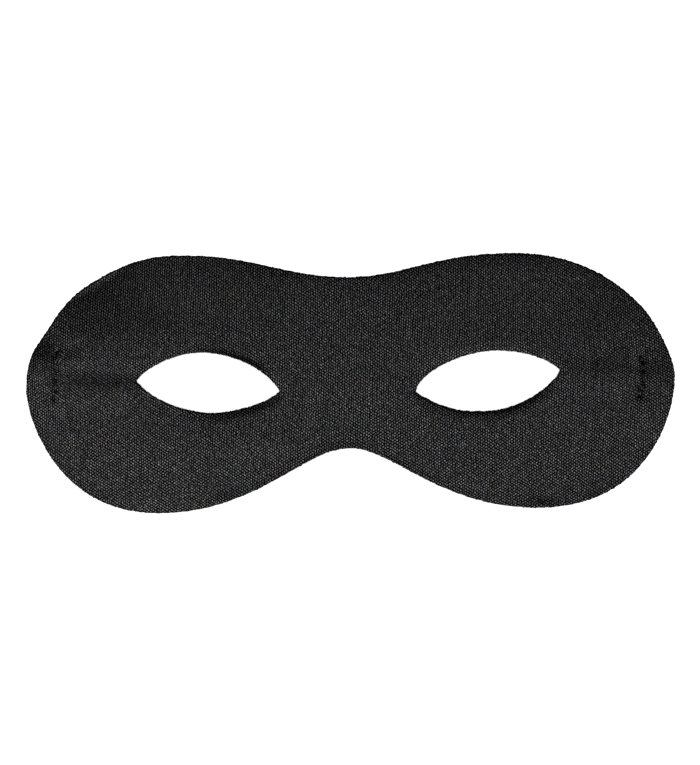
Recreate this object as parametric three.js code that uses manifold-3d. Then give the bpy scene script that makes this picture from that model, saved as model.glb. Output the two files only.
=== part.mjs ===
// Domino mask: one shaped piece of cloth with two eye holes, and a flat elastic head strap sewn on behind.
// Millimetres. The mask lies on its back with its face side up, as it would on a table: +X to the right
// and +Y up the brow as it is looked at, +Z out of the face side. The origin is on the surface that it
// lies on, below the middle of its outline.

import * as THREE from "three";
import { mergeVertices } from "three/addons/utils/BufferGeometryUtils.js";
import Module from "manifold-3d";

// The cloth
const MASK_WIDTH = 190;
const MASK_HEIGHT = 76;
const CLOTH_THICKNESS = 1.5;

// How the cloth stands: the middle stands above the tips and above the brow and cheek edges, and the tips
// would reach a little below the surface, so there they lie pressed flat.
const BOW_RISE = 8;
const CROWN_RISE = 2.5;
const TIP_SETTLE = 0.9;

// The eye holes, measured over their corners and from the middle of one to the middle of the other
const EYE_WIDTH = 42.2;
const EYE_HEIGHT = 17.7;
const EYE_SPACING = 81.8;
const EYE_RIM_DROP = 1;
const EYE_RIM_REACH = 3.5;

// Creases and swellings of the cloth
const FOLD_DEPTH = 1;

// The head strap, relaxed and lying flat behind the mask
const STRAP_WIDTH = 12;
const STRAP_THICKNESS = 0.8;
const STRAP_TAIL = 2.5;
const STITCH_INSET = 8.8;
const STRAP_CLEARANCE = 0.3;

// How far the cloth keeps its height over the strap before it comes down beside it
const COVER_MARGIN = 2.5;
const COVER_FALL = 6;

// Fineness of the solids
const CELL_ACROSS = 3.5;
const CELL_UP = 2.6;
const EDGE_STEPS = 12;
const EYE_STEPS = 9;
const STRAP_STEPS = 60;

const HALF_WIDTH = MASK_WIDTH / 2;
const HALF_HEIGHT = MASK_HEIGHT / 2;

// The mask's edge, clockwise from the dip of the brow. x and y are shares of half the width and half the
// height. in and out are the curve's handles before and after the point, in the same shares.
const MASK_EDGE = [
  { at: "brow dip", x: -0.009, y: 0.812, inX: -0.184, inY: 0, outX: 0.169, outY: 0 },
  { at: "right brow", x: 0.506, y: 1, inX: -0.25, inY: 0, outX: 0.263, outY: 0 },
  { at: "right shoulder", x: 0.912, y: 0.55, inX: -0.023, inY: 0.062, outX: 0.02, outY: -0.056 },
  { at: "right tip", x: 1, y: 0.057, inX: 0, inY: 0.15, outX: 0, outY: -0.287 },
  { at: "right cheek", x: 0.579, y: -0.958, inX: 0.344, inY: 0, outX: -0.305, outY: 0 },
  { at: "nose notch", x: -0.002, y: -0.498, inX: 0.132, inY: 0, outX: -0.14, outY: 0 },
  { at: "left cheek", x: -0.592, y: -1, inX: 0.303, inY: 0, outX: -0.342, outY: 0 },
  { at: "left tip", x: -1, y: -0.07, inX: 0, inY: -0.092, outX: 0, outY: 0.26 },
  { at: "above left stitches", x: -0.941, y: 0.383, inX: -0.035, inY: -0.127, outX: 0.024, outY: 0.089 },
  { at: "left shoulder", x: -0.805, y: 0.762, inX: -0.081, inY: -0.129, outX: 0.147, outY: 0.233 },
  { at: "left brow", x: -0.504, y: 0.981, inX: -0.069, inY: 0, outX: 0.201, outY: 0 },
];

// Each eye hole: its middle in shares of half the spacing and half its height, its edge clockwise from its
// left corner in shares of half its width and half its height, and how far its rim falls toward each quarter
// in shares of the rim's drop, where toward is in degrees from +X.
const EYE_HOLES = [
  {
    side: "left",
    x: -1.02,
    y: 0.01,
    rim: [
      { toward: 45, fall: -0.25 },
      { toward: 135, fall: 0.25 },
      { toward: 225, fall: 0.25 },
      { toward: 315, fall: 1.25 },
    ],
    edge: [
      { at: "left corner", x: -0.985, y: 0.05, inX: 0.28, inY: -0.8, outX: 0.06, outY: 0.34 },
      { at: "top", x: -0.09, y: 1, inX: -0.4, inY: 0, outX: 0.39, outY: 0 },
      { at: "right corner", x: 1, y: -0.28, inX: -0.19, inY: 0.8, outX: -0.23, outY: -0.52 },
      { at: "bottom", x: 0.09, y: -1, inX: 0.12, inY: 0, outX: -0.28, outY: 0 },
    ],
  },
  {
    side: "right",
    x: 0.98,
    y: 0.08,
    rim: [
      { toward: 45, fall: 0.4 },
      { toward: 135, fall: 0.5 },
      { toward: 225, fall: 0.5 },
      { toward: 315, fall: 1 },
    ],
    edge: [
      { at: "left corner", x: -1, y: -0.37, inX: 0.49, inY: -0.76, outX: 0.05, outY: 0.7 },
      { at: "top", x: 0.12, y: 1, inX: -0.43, inY: 0, outX: 0.51, outY: 0 },
      { at: "right corner", x: 1, y: 0.35, inX: -0.05, inY: 0.19, outX: -0.05, outY: -0.4 },
      { at: "bottom", x: -0.06, y: -1, inX: 0.54, inY: 0, outX: -0.12, outY: 0 },
    ],
  },
];

// Soft creases, hollows and swellings. x and y are shares of half the width and half the height, along and
// across are the fold's reach in the same shares, turn turns it counterclockwise in degrees, and rise is a
// share of the fold depth.
const FOLDS = [
  { at: "fall to the upper left edge", x: -0.8, y: 0.93, along: 0.23, across: 0.38, turn: 0, rise: -2.4 },
  { at: "swelling above left crease", x: -0.76, y: 0.29, along: 0.18, across: 0.2, turn: 0, rise: 0.46 },
  { at: "swelling below left crease", x: -0.78, y: -0.11, along: 0.18, across: 0.12, turn: 0, rise: 0.52 },
  { at: "hollow above the left tip", x: -0.95, y: 0.29, along: 0.04, across: 0.12, turn: 0, rise: -0.45 },
  { at: "swelling of the left tip", x: -0.95, y: 0.09, along: 0.05, across: 0.09, turn: 0, rise: 1.2 },
  { at: "swelling of the left cheek", x: -0.6, y: -0.6, along: 0.3, across: 0.3, turn: 0, rise: 0.28 },
  { at: "swelling below the left eye", x: -0.4, y: -0.45, along: 0.2, across: 0.12, turn: 0, rise: 0.3 },
  { at: "swelling of the nose bridge", x: 0, y: 0.33, along: 0.18, across: 0.46, turn: 0, rise: 0.6 },
  { at: "hollow over the nose notch", x: 0, y: -0.3, along: 0.2, across: 0.2, turn: 0, rise: -0.2 },
  { at: "swelling of the middle brow", x: 0, y: 0.75, along: 0.28, across: 0.23, turn: 0, rise: 0.7 },
  { at: "hollow right of the brow dip", x: 0.22, y: 0.75, along: 0.1, across: 0.12, turn: 15, rise: -0.17 },
  { at: "swelling of the right brow", x: 0.52, y: 0.93, along: 0.25, across: 0.22, turn: 0, rise: 0.66 },
  { at: "fall to the upper right edge", x: 0.83, y: 0.72, along: 0.12, across: 0.19, turn: -40, rise: -0.37 },
  { at: "swelling above the right ridge", x: 0.72, y: 0.3, along: 0.12, across: 0.22, turn: 0, rise: 0.24 },
  { at: "ridge from right eye to stitches", x: 0.76, y: 0.04, along: 0.14, across: 0.12, turn: 0, rise: 0.7 },
  { at: "hollow above right stitches", x: 0.86, y: 0.35, along: 0.04, across: 0.12, turn: 0, rise: -0.29 },
  { at: "hollow beside right stitches", x: 0.91, y: 0.12, along: 0.04, across: 0.11, turn: 0, rise: -0.5 },
  { at: "swelling of the right tip", x: 0.96, y: 0.09, along: 0.04, across: 0.14, turn: 0, rise: 0.2 },
  { at: "swelling below the right tip", x: 0.93, y: -0.3, along: 0.06, across: 0.15, turn: 0, rise: 0.5 },
  { at: "swelling right of the right eye", x: 0.7, y: -0.2, along: 0.12, across: 0.14, turn: 0, rise: 0.18 },
  { at: "rise of the bottom left edge", x: -0.6, y: -0.9, along: 0.25, across: 0.12, turn: 0, rise: 0.18 },
];

// The strap's middle line from its stitches on the left to the middle of the nose, and mirrored from there.
// x is a share of the distance from the middle to the stitches, y of half the mask's height, and reach is
// the share of x that the curve's level handles have.
const STRAP_ROUTE = [
  { at: "stitches", x: -1, y: 0.06, reach: 0.22 },
  { at: "below the eye", x: -0.5, y: -0.7, reach: 0.22 },
  { at: "behind the nose", x: 0, y: -0.08, reach: 0.22 },
];

const wasm = await Module();
wasm.setup();

// A closed geometry as a solid that can be cut
function solidOf(geometry) {
  const bare = geometry.clone();
  bare.deleteAttribute("normal");
  bare.deleteAttribute("uv");
  const merged = mergeVertices(bare);
  const vertProperties = merged.getAttribute("position").array;
  const triVerts = new Uint32Array(merged.index.array);
  return new wasm.Manifold(new wasm.Mesh({ numProp: 3, vertProperties, triVerts }));
}

function geometryOf(solid) {
  const { vertProperties, triVerts } = solid.getMesh();
  const geometry = new THREE.BufferGeometry();
  geometry.setAttribute("position", new THREE.BufferAttribute(vertProperties, 3));
  geometry.setIndex(new THREE.BufferAttribute(triVerts, 1));
  geometry.computeVertexNormals();
  return geometry;
}

// 1 at or before the start, 0 at or past the end, with a smooth way down between them
function fade(share) {
  const s = THREE.MathUtils.clamp(share, 0, 1);
  return 1 - s * s * (3 - 2 * s);
}

// A closed path through the rows of an edge table
function tracePath(path, edge, halfAcross, halfUp, middleX, middleY) {
  const px = (share) => middleX + share * halfAcross;
  const py = (share) => middleY + share * halfUp;
  path.moveTo(px(edge[0].x), py(edge[0].y));
  edge.forEach((from, i) => {
    const to = edge[(i + 1) % edge.length];
    path.bezierCurveTo(
      px(from.x + from.outX),
      py(from.y + from.outY),
      px(to.x + to.inX),
      py(to.y + to.inY),
      px(to.x),
      py(to.y),
    );
  });
  return path;
}

function eyeMiddle(eye) {
  return { x: (eye.x * EYE_SPACING) / 2, y: (eye.y * EYE_HEIGHT) / 2 };
}

function eyePath(eye) {
  const middle = eyeMiddle(eye);
  return tracePath(new THREE.Path(), eye.edge, EYE_WIDTH / 2, EYE_HEIGHT / 2, middle.x, middle.y);
}

function strapPath() {
  const toStitches = HALF_WIDTH - STITCH_INSET;
  const left = STRAP_ROUTE.map((row) => ({
    x: row.x * toStitches,
    y: row.y * HALF_HEIGHT,
    reach: row.reach * toStitches,
  }));
  const right = left.slice(0, -1).reverse();
  const stops = [...left, ...right.map((stop) => ({ ...stop, x: -stop.x }))];
  const path = new THREE.Path();
  path.moveTo(stops[0].x - STRAP_TAIL, stops[0].y);
  path.lineTo(stops[0].x, stops[0].y);
  stops.slice(1).forEach((to, i) => {
    const from = stops[i];
    path.bezierCurveTo(from.x + from.reach, from.y, to.x - to.reach, to.y, to.x, to.y);
  });
  const last = stops[stops.length - 1];
  path.lineTo(last.x + STRAP_TAIL, last.y);
  return path;
}

const strapLine = strapPath().getSpacedPoints(STRAP_STEPS);

function distanceToStrapLine(x, y) {
  let least = Infinity;
  for (let i = 1; i < strapLine.length; i++) {
    const from = strapLine[i - 1];
    const run = strapLine[i].clone().sub(from);
    const offset = new THREE.Vector2(x, y).sub(from);
    const share = THREE.MathUtils.clamp(offset.dot(run) / run.lengthSq(), 0, 1);
    least = Math.min(least, offset.sub(run.multiplyScalar(share)).length());
  }
  return least;
}

function foldHeight(fold, x, y) {
  const offset = new THREE.Vector2(x - fold.x * HALF_WIDTH, y - fold.y * HALF_HEIGHT);
  offset.rotateAround(new THREE.Vector2(), -THREE.MathUtils.degToRad(fold.turn));
  const along = offset.x / (fold.along * HALF_WIDTH);
  const across = offset.y / (fold.across * HALF_HEIGHT);
  return fold.rise * FOLD_DEPTH * Math.exp(-along * along - across * across);
}

// How far the cloth falls toward the rim of an eye hole, blended between the rows of its four quarters
function rimFall(eye, x, y) {
  const middle = eyeMiddle(eye);
  const across = (x - middle.x) / (EYE_WIDTH / 2);
  const up = (y - middle.y) / (EYE_HEIGHT / 2);
  const past = (Math.hypot(across, up) - 1) * (EYE_HEIGHT / 2);
  const toward = THREE.MathUtils.radToDeg(Math.atan2(up, across));
  let fall = 0;
  for (const quarter of eye.rim) {
    const off = THREE.MathUtils.euclideanModulo(toward - quarter.toward + 180, 360) - 180;
    fall += quarter.fall * fade(Math.abs(off) / 90);
  }
  return fall * EYE_RIM_DROP * fade(past / EYE_RIM_REACH);
}

// The cloth's height where only its own stiffness holds it
function freeHeight(x, y) {
  const u = x / HALF_WIDTH;
  const v = y / HALF_HEIGHT;
  let height = BOW_RISE * (1 - u * u) + CROWN_RISE * (1 - v * v) - CROWN_RISE - TIP_SETTLE;
  for (const fold of FOLDS) height += foldHeight(fold, x, y);
  for (const eye of EYE_HOLES) height -= rimFall(eye, x, y);
  return height;
}

// The height that the strap under the cloth holds it up to
function coverHeight(x, y) {
  const past = distanceToStrapLine(x, y) - STRAP_WIDTH / 2 - COVER_MARGIN;
  return (STRAP_THICKNESS + STRAP_CLEARANCE) * fade(past / COVER_FALL);
}

// The back of the cloth, which is nowhere below the surface that the mask lies on
function backHeight(x, y) {
  return Math.max(0, freeHeight(x, y), coverHeight(x, y));
}

// A closed sheet over the whole box of the mask and one cell more, with the cloth's thickness
function clothSheet() {
  const columns = 2 * (Math.ceil(HALF_WIDTH / CELL_ACROSS) + 1);
  const rows = 2 * (Math.ceil(HALF_HEIGHT / CELL_UP) + 1);
  const positions = [];
  const layer = (columns + 1) * (rows + 1);
  for (const lift of [0, CLOTH_THICKNESS]) {
    for (let r = 0; r <= rows; r++) {
      for (let c = 0; c <= columns; c++) {
        const x = (c - columns / 2) * CELL_ACROSS;
        const y = (r - rows / 2) * CELL_UP;
        positions.push(x, y, backHeight(x, y) + lift);
      }
    }
  }
  const faces = [];
  const quad = (a, b, c, d) => faces.push(a, b, c, a, c, d);
  const at = (c, r) => r * (columns + 1) + c;
  for (let r = 0; r < rows; r++) {
    for (let c = 0; c < columns; c++) {
      const corners = [at(c, r), at(c + 1, r), at(c + 1, r + 1), at(c, r + 1)];
      quad(...corners.map((i) => i + layer));
      quad(...corners.reverse());
    }
  }
  for (let c = 0; c < columns; c++) {
    quad(at(c, 0), at(c + 1, 0), at(c + 1, 0) + layer, at(c, 0) + layer);
    quad(at(c + 1, rows), at(c, rows), at(c, rows) + layer, at(c + 1, rows) + layer);
  }
  for (let r = 0; r < rows; r++) {
    quad(at(0, r + 1), at(0, r), at(0, r) + layer, at(0, r + 1) + layer);
    quad(at(columns, r), at(columns, r + 1), at(columns, r + 1) + layer, at(columns, r) + layer);
  }
  const sheet = new THREE.BufferGeometry();
  sheet.setAttribute("position", new THREE.Float32BufferAttribute(positions, 3));
  sheet.setIndex(faces);
  return sheet;
}

// The cutter: the mask's outline with its eye holes, which run the other way round, through the whole height
// of the sheet
function maskCutter() {
  const outline = tracePath(new THREE.Shape(), MASK_EDGE, HALF_WIDTH, HALF_HEIGHT, 0, 0);
  const shape = new THREE.Shape(outline.getPoints(EDGE_STEPS));
  shape.holes = EYE_HOLES.map((eye) => new THREE.Path(eyePath(eye).getPoints(EYE_STEPS).reverse()));
  const spare = CLOTH_THICKNESS;
  const depth = BOW_RISE + CROWN_RISE + FOLD_DEPTH * FOLDS.length + CLOTH_THICKNESS + 2 * spare;
  const cutter = new THREE.ExtrudeGeometry(shape, { depth, bevelEnabled: false });
  return cutter.translate(0, 0, -spare);
}

function makeMask() {
  const cloth = solidOf(clothSheet()).intersect(solidOf(maskCutter()));
  const material = new THREE.MeshStandardMaterial({ color: 0x2a2a2a, roughness: 0.85, metalness: 0 });
  const mask = new THREE.Mesh(geometryOf(cloth), material);
  mask.name = "mask";
  return mask;
}

function makeHeadStrap() {
  const path = strapPath();
  const left = [];
  const right = [];
  for (let i = 0; i <= STRAP_STEPS; i++) {
    const point = path.getPointAt(i / STRAP_STEPS);
    const along = path.getTangentAt(i / STRAP_STEPS);
    const side = new THREE.Vector2(-along.y, along.x).multiplyScalar(STRAP_WIDTH / 2);
    left.push(point.clone().add(side));
    right.push(point.clone().sub(side));
  }
  const band = new THREE.Shape([...right, ...left.reverse()]);
  const geometry = new THREE.ExtrudeGeometry(band, { depth: STRAP_THICKNESS, bevelEnabled: false });
  const material = new THREE.MeshStandardMaterial({ color: 0x1c1c1c, roughness: 0.8, metalness: 0 });
  const strap = new THREE.Mesh(geometry, material);
  strap.name = "head_strap";
  return strap;
}

const dominoMask = new THREE.Group();
dominoMask.add(makeMask(), makeHeadStrap());

export default dominoMask;
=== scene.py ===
import math

import bpy
import numpy as np
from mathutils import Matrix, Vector, noise
from mathutils.geometry import delaunay_2d_cdt
from mathutils.kdtree import KDTree


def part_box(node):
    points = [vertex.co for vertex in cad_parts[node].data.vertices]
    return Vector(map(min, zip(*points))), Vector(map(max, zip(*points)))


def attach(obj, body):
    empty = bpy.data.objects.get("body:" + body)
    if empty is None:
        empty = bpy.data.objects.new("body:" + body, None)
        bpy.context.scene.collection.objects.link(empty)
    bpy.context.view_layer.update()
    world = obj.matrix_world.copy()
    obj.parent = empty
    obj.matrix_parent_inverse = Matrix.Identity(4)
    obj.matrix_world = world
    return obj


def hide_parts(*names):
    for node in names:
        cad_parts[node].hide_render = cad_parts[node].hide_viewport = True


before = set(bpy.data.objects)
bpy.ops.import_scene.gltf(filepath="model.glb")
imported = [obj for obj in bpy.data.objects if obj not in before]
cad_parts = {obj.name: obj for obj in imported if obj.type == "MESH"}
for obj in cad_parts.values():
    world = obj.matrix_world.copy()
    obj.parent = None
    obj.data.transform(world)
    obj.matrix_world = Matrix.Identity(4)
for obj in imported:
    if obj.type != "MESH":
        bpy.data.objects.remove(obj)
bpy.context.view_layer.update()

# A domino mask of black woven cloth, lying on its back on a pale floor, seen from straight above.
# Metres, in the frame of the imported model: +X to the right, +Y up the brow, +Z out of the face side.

MM = 0.001
MASK_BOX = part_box("mask")
STRAP_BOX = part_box("head_strap")

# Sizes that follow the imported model
HALF_WIDTH = (MASK_BOX[1].x - MASK_BOX[0].x) / 2
HALF_HEIGHT = (MASK_BOX[1].y - MASK_BOX[0].y) / 2
STRAP_THICKNESS = STRAP_BOX[1].z - STRAP_BOX[0].z

# The cloth, its stance and its eye holes, as in the part's source
CLOTH_THICKNESS = 1.5 * MM
BOW_RISE = 8 * MM
CROWN_RISE = 2.5 * MM
TIP_SETTLE = 0.9 * MM
EYE_WIDTH = 42.2 * MM
EYE_HEIGHT = 17.7 * MM
EYE_SPACING = 81.8 * MM
EYE_RIM_DROP = 1 * MM
EYE_RIM_REACH = 3.5 * MM
EYE_LIP_REACH = 1.6 * MM
FOLD_DEPTH = 1 * MM
STRAP_WIDTH = 12 * MM
STRAP_TAIL = 2.5 * MM
STITCH_INSET = 8.8 * MM
STRAP_CLEARANCE = 0.3 * MM

# How far past the strap's edge the cloth still lies on it, and over what width it then comes down
COVER_MARGIN = 0.5 * MM
COVER_FALL = 5 * MM

# Where the cloth is pressed: how far its back's and its front's bends are rounded, the least share of its
# thickness that it keeps, and how much lower that share is at its edge
CONTACT_ROUND = 0.15 * MM
PRESS_ROUND = 0.1 * MM
LEAST_SHARE = 0.6
THIN_SHARE = 0.3
THIN_REACH = 7 * MM

# The soft unevenness of a cloth laid by hand, in millimetres
UNEVENNESS = [
    dict(wavelength=22, depth=0.15, seed=1),
    dict(wavelength=7, depth=0.05, seed=2),
]

# The weave: the pitch of its yarns across and up, how far they lie off the square, the lean of each float,
# and how far the yarns' tops, their dips and the pores lie above the cloth's middle level
WARP_PITCH = 0.678 * MM
WEFT_PITCH = 0.406 * MM
WARP_SLANT = -0.016
WEFT_SLANT = -0.027
FLOAT_LEAN = -0.16
YARN_TOP = 0.085 * MM
YARN_DIP = -0.03 * MM
PORE = -0.08 * MM

# How far single yarns stray from their even places, in millimetres
YARN_STRAY = dict(wavelength=4, across=0.12, up=0.09)

# The strap's braid: its ribs along it, the ripple of its two edges, and the steps of its mesh across it
STRAP_RIBS = 7
STRAP_RIB_DEPTH = 0.06 * MM
STRAP_RIPPLE = 0.015
STRAP_RIPPLE_LENGTH = 1.1 * MM
STRAP_STEP = 0.6 * MM
STRAP_STEPS_ACROSS = 42

# The cut edge: cloth and weave are pressed thin there, the top rolls down and the bottom up, and the line
# wanders a little, with nubs and bulges
EDGE_SHARE = 0.85
EDGE_ROUND = 0.5 * MM
EDGE_WANDER = 0.05 * MM
EDGE_NUB = 0.18 * MM
EDGE_BULGE = 0.08 * MM
EDGE_WEAVE = 0.4
TOP_EDGE_DROP = 0.25 * MM
TOP_EDGE_REACH = 5 * MM
BOTTOM_EDGE_LIFT = 0.25 * MM
BOTTOM_EDGE_REACH = 3 * MM

# The ends of fibre at the cut edge: how many to a millimetre, and in millimetres their least length, the
# mean of what comes on top, their greatest length, and their least and greatest radius
FIBRES_PER_MM = 1.2
FIBRE_LENGTH = (0.18, 0.2, 1.1)
FIBRE_RADIUS = (0.02, 0.035)

# Fineness of the cloth's mesh
EDGE_STEP = 0.32 * MM
FRONT_INSETS = [0.16 * MM, 0.36 * MM]
BACK_INSETS = [0.4 * MM, 1.1 * MM]
BACK_STEP = 1.4 * MM

# The photograph's frame: its size in pixels, the size of one pixel at the mask, and the pixel on which the
# middle of the mask's outline lies
FRAME_PIXELS = (700, 765)
PIXEL = 0.2926 * MM
MASK_PIXEL = (350.5, 383.1)
CAMERA_LENS = 200.0
CAMERA_SENSOR = 36.0
FOCUS_HEIGHT = 2 * MM

# The lights, in degrees, metres and watts: a low key from below the mask in the picture, which falls on the
# object alone, and one overhead, which falls on the floor alone
KEY_LIGHT = dict(elevation=20, turn=-8, distance=1.5, size=0.35, power=57.6)
OVERHEAD_LIGHT = dict(height=3, size=0.4, power=126)
SKY_STRENGTH = 0.16

# The floor: half its side and how far it lies below the frame's zero, so that nothing shares its plane
FLOOR_HALF_SIDE = 3.0
FLOOR_DROP = 0.05 * MM

# The mask's edge, clockwise from the dip of the brow, in shares of half the width and half the height, with
# the curve's handles before and after each point
MASK_EDGE = [
    dict(at="brow dip", x=-0.009, y=0.812, before=(-0.184, 0), after=(0.169, 0)),
    dict(at="right brow", x=0.506, y=1, before=(-0.25, 0), after=(0.263, 0)),
    dict(at="right shoulder", x=0.912, y=0.55, before=(-0.023, 0.062), after=(0.02, -0.056)),
    dict(at="right tip", x=1, y=0.057, before=(0, 0.15), after=(0, -0.287)),
    dict(at="right cheek", x=0.579, y=-0.958, before=(0.344, 0), after=(-0.305, 0)),
    dict(at="nose notch", x=-0.002, y=-0.498, before=(0.132, 0), after=(-0.14, 0)),
    dict(at="left cheek", x=-0.592, y=-1, before=(0.303, 0), after=(-0.342, 0)),
    dict(at="left tip", x=-1, y=-0.07, before=(0, -0.092), after=(0, 0.26)),
    dict(at="above left stitches", x=-0.941, y=0.383, before=(-0.035, -0.127), after=(0.024, 0.089)),
    dict(at="left shoulder", x=-0.805, y=0.762, before=(-0.081, -0.129), after=(0.147, 0.233)),
    dict(at="left brow", x=-0.504, y=0.981, before=(-0.069, 0), after=(0.201, 0)),
]

# Each eye hole: its middle in shares of half the spacing and half its height, its edge clockwise from its
# left corner in shares of half its width and half its height, and how far its rim falls, in shares of the
# rim's drop, above on the right, above on the left, below on the left and below on the right. lip gives the
# same four for the narrow curl of the rim's last part, up where it is above 0
EYE_HOLES = [
    dict(side="left", x=-1.02, y=0.01, rim=(-0.35, 0.3, 0.12, 1.3), lip=(0.42, 0.12, 0.1, 0.34), edge=[
        dict(at="left corner", x=-0.985, y=0.05, before=(0.28, -0.8), after=(0.06, 0.34)),
        dict(at="top", x=-0.09, y=1, before=(-0.4, 0), after=(0.39, 0)),
        dict(at="right corner", x=1, y=-0.28, before=(-0.19, 0.8), after=(-0.23, -0.52)),
        dict(at="bottom", x=0.09, y=-1, before=(0.12, 0), after=(-0.28, 0)),
    ]),
    dict(side="right", x=0.98, y=0.08, rim=(0.25, 0.48, 0.46, 1), lip=(0, 0, -0.05, -0.05), edge=[
        dict(at="left corner", x=-1, y=-0.37, before=(0.49, -0.76), after=(0.05, 0.7)),
        dict(at="top", x=0.12, y=1, before=(-0.43, 0), after=(0.51, 0)),
        dict(at="right corner", x=1, y=0.35, before=(-0.05, 0.19), after=(-0.05, -0.4)),
        dict(at="bottom", x=-0.06, y=-1, before=(0.54, 0), after=(-0.12, 0)),
    ]),
]

# Creases, hollows and swellings: place and reach in shares of half the width and half the height, the turn
# of the fold in degrees, and its rise as a share of the fold depth
FOLDS = [
    dict(at="fall to the upper left edge", x=-0.8, y=0.93, along=0.23, across=0.38, rise=-2.9),
    dict(at="rise of the left side", x=-0.75, y=0.1, along=0.3, across=0.9, rise=0.7),
    dict(at="swelling above the left crease", x=-0.76, y=0.29, along=0.18, across=0.2, rise=0.3),
    dict(at="crease beside the left eye", x=-0.78, y=0.09, along=0.14, across=0.07, turn=-4, rise=-0.34),
    dict(at="foot of the left crease", x=-0.78, y=0.02, along=0.14, across=0.05, turn=-4, rise=-0.06),
    dict(at="outer end of the left crease", x=-0.86, y=0.075, along=0.05, across=0.05, turn=-4, rise=-0.2),
    dict(at="inner end of the left crease", x=-0.7, y=0.07, along=0.08, across=0.05, turn=-4, rise=-0.14),
    dict(at="swelling below the left crease", x=-0.78, y=-0.08, along=0.18, across=0.085, rise=0.42),
    dict(at="hollow above the left tip", x=-0.93, y=0.31, along=0.045, across=0.14, rise=-0.59),
    dict(at="hollow by the left stitches", x=-0.86, y=0.27, along=0.045, across=0.06, turn=20, rise=-0.42),
    dict(at="fall of the left edge", x=-0.88, y=0.45, along=0.05, across=0.1, turn=50, rise=-0.15),
    dict(at="swelling of the left shoulder", x=-0.8, y=0.6, along=0.1, across=0.12, turn=45, rise=0.17),
    dict(at="swelling of the left tip", x=-0.96, y=0.12, along=0.055, across=0.18, rise=1.6),
    dict(at="swelling below the left tip", x=-0.95, y=-0.2, along=0.05, across=0.15, rise=0.14),
    dict(at="foot of the left stitches", x=-0.9, y=-0.15, along=0.03, across=0.06, rise=0.2),
    dict(at="swelling of the left cheek", x=-0.6, y=-0.6, along=0.3, across=0.3, rise=0.39),
    dict(at="swelling over the left eye", x=-0.57, y=0.35, along=0.18, across=0.11, rise=0.3),
    dict(at="hollow over the left eye's outer end", x=-0.62, y=0.33, along=0.1, across=0.1, rise=-0.11),
    dict(at="swelling below the left eye", x=-0.4, y=-0.45, along=0.2, across=0.12, rise=0.34),
    dict(at="fall of the left brow", x=-0.45, y=0.93, along=0.25, across=0.1, rise=-0.2),
    dict(at="swelling of the nose bridge", x=0, y=0.33, along=0.18, across=0.46, rise=0.79),
    dict(at="hollow round the nose bridge", x=0, y=0.1, along=0.3, across=0.3, rise=-0.33),
    dict(at="hollow over the nose notch", x=0, y=-0.3, along=0.2, across=0.2, rise=-0.33),
    dict(at="swelling of the middle brow", x=0, y=0.75, along=0.28, across=0.23, rise=0.57),
    dict(at="hollow right of the brow dip", x=0.22, y=0.75, along=0.1, across=0.12, turn=15, rise=-0.22),
    dict(at="curl of the brow dip", x=0.02, y=0.86, along=0.14, across=0.1, rise=0.35),
    dict(at="swelling of the right brow", x=0.52, y=0.93, along=0.25, across=0.22, rise=0.66),
    dict(at="curl of the right brow edge", x=0.55, y=0.98, along=0.25, across=0.08, rise=0.14),
    dict(at="fall to the upper right edge", x=0.83, y=0.72, along=0.12, across=0.19, turn=-40, rise=-0.23),
    dict(at="swelling over the right eye", x=0.43, y=0.3, along=0.18, across=0.09, rise=0.12),
    dict(at="swelling over the right eye's outer end", x=0.58, y=0.1, along=0.08, across=0.22, rise=0.45),
    dict(at="swelling above the right ridge", x=0.72, y=0.3, along=0.12, across=0.22, rise=0.38),
    dict(at="ridge from right eye to stitches", x=0.76, y=0.04, along=0.14, across=0.12, rise=0.8),
    dict(at="fall of the right edge", x=0.93, y=0.4, along=0.05, across=0.12, turn=-50, rise=-0.12),
    dict(at="hollow above right stitches", x=0.86, y=0.35, along=0.04, across=0.12, rise=-0.35),
    dict(at="groove left of right stitches", x=0.87, y=0.02, along=0.02, across=0.16, rise=-0.65),
    dict(at="hollow beside right stitches", x=0.92, y=0.21, along=0.045, across=0.12, rise=-0.54),
    dict(at="rise above the right stitches", x=0.93, y=0.35, along=0.1, across=0.25, rise=0.54),
    dict(at="ridge under the right stitches", x=0.905, y=0.02, along=0.016, across=0.16, rise=0.16),
    dict(at="foot of the right stitches", x=0.91, y=-0.15, along=0.03, across=0.08, rise=0.41),
    dict(at="swelling of the right tip", x=0.97, y=-0.03, along=0.07, across=0.22, rise=1.09),
    dict(at="swelling below the right tip", x=0.93, y=-0.3, along=0.06, across=0.15, rise=0.72),
    dict(at="swelling right of the right eye", x=0.7, y=-0.2, along=0.12, across=0.14, rise=0.25),
    dict(at="hollow of the right cheek", x=0.55, y=-0.67, along=0.34, across=0.31, rise=-0.08),
    dict(at="rise of the bottom left edge", x=-0.6, y=-0.9, along=0.25, across=0.12, rise=0.5),
    dict(at="rise of the bottom right edge", x=0.76, y=-0.9, along=0.09, across=0.14, turn=20, rise=0.4),
    dict(at="rise of the right cheek's foot", x=0.51, y=-0.97, along=0.07, across=0.13, rise=0.3),
    dict(at="fall left of the nose notch", x=-0.22, y=-0.62, along=0.06, across=0.08, rise=-0.25),
    dict(at="fall right of the nose notch", x=0.1, y=-0.56, along=0.08, across=0.08, rise=-0.25),
    dict(at="curl of the left bottom edge", x=-0.38, y=-0.9, along=0.04, across=0.05, rise=0.5),
    dict(at="curl of the right bottom edge", x=0.59, y=-0.94, along=0.04, across=0.05, rise=0.65),
]

# The strap's middle line from its stitches on the left to the middle of the nose, mirrored from there: x is
# a share of the distance to the stitches, y of half the mask's height, reach the share of the level handles
STRAP_ROUTE = [
    dict(at="stitches", x=-1, y=0.06, reach=0.22),
    dict(at="below the eye", x=-0.5, y=-0.7, reach=0.22),
    dict(at="behind the nose", x=0, y=-0.08, reach=0.22),
]

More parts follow.
